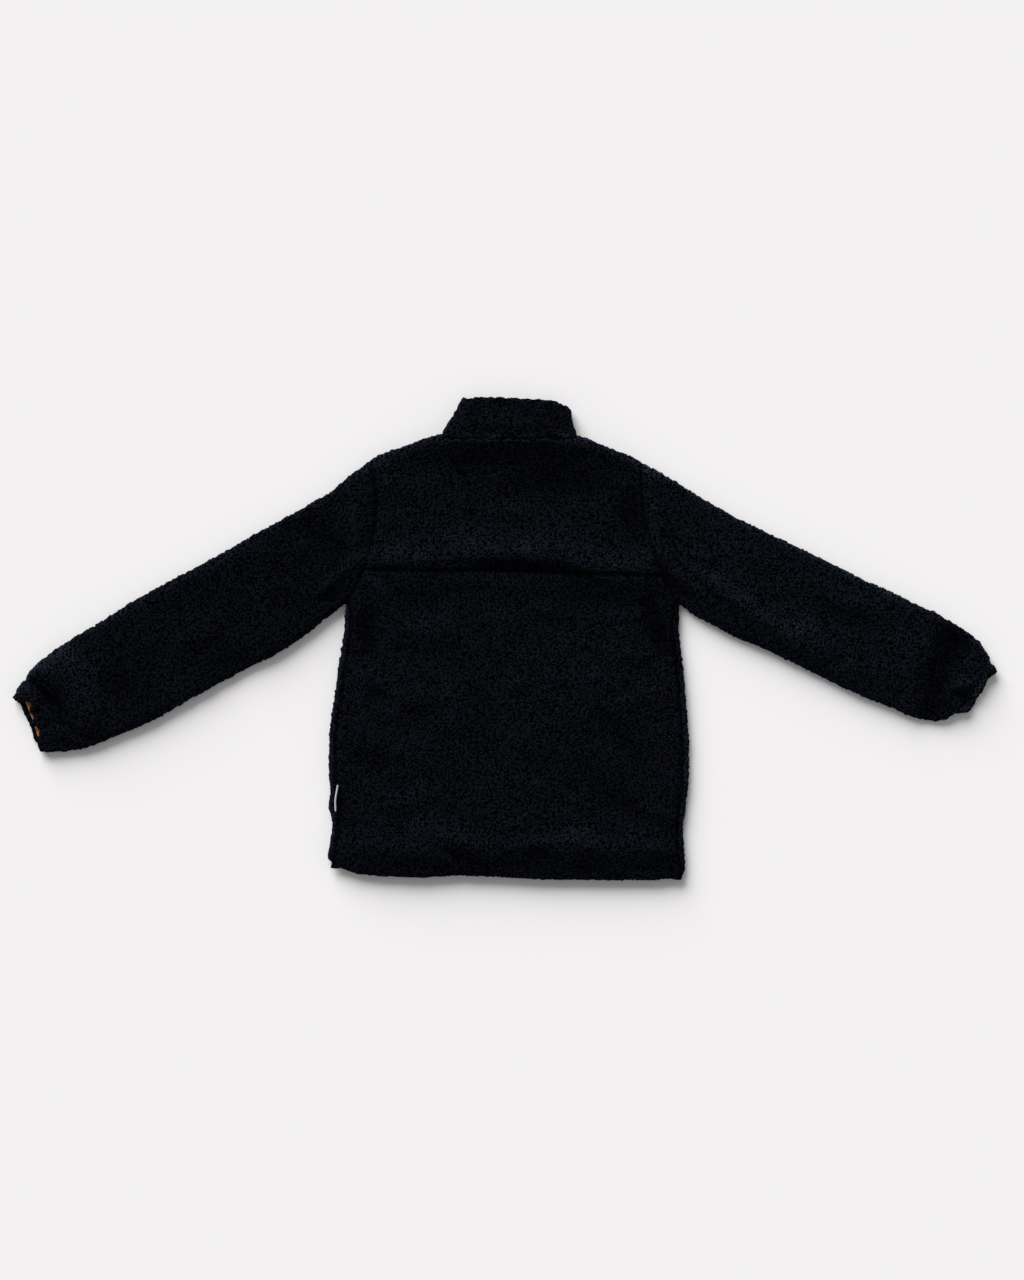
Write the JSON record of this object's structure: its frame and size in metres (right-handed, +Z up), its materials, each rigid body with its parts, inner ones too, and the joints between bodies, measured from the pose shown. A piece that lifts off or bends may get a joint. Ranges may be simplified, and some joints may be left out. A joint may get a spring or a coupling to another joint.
{
  "type": "teddy jacket",
  "caption": "Child's teddy fleece jacket with a stand collar, back yoke, set-in sleeves and gathered cuffs, laid flat on its front with the back showing.",
  "frame": {"origin": "on the surface the jacket lies on, under the middle of its plan box", "axes": "+Z up, out of the back; +Y from the hem to the collar; +X towards the wearer's right sleeve"},
  "size_m": [1.1776, 0.5804, 0.0264],
  "materials": {
    "teddy": "curly matt pile",
    "lining": "matt short pile",
    "label": "smooth woven tape",
    "zip_tape": "woven tape",
    "zip_metal": "dark satin"
  },
  "bodies": {
    "root": {"back": "teddy", "back_yoke": "teddy", "front_left": "teddy", "front_right": "teddy", "sleeve_left": "teddy", "sleeve_right": "teddy", "cuff_left": "teddy", "cuff_right": "teddy", "collar": "teddy", "cuff_lining_left": "lining", "side_label": "label", "zip_tape_left": "zip_tape", "zip_tape_right": "zip_tape", "zip_chain": "zip_tape", "zip_slider": "zip_metal"},
    "zip_pull": {"zip_pull": "zip_metal"}
  },
  "joints": [
    {"name": "pull_swing", "type": "hinge", "parent": "root", "child": "zip_pull", "pos_m": [0.00459, 0.23333, 0.0027], "axis": [1, 0, 0], "range_deg": [0, 180]}
  ]
}
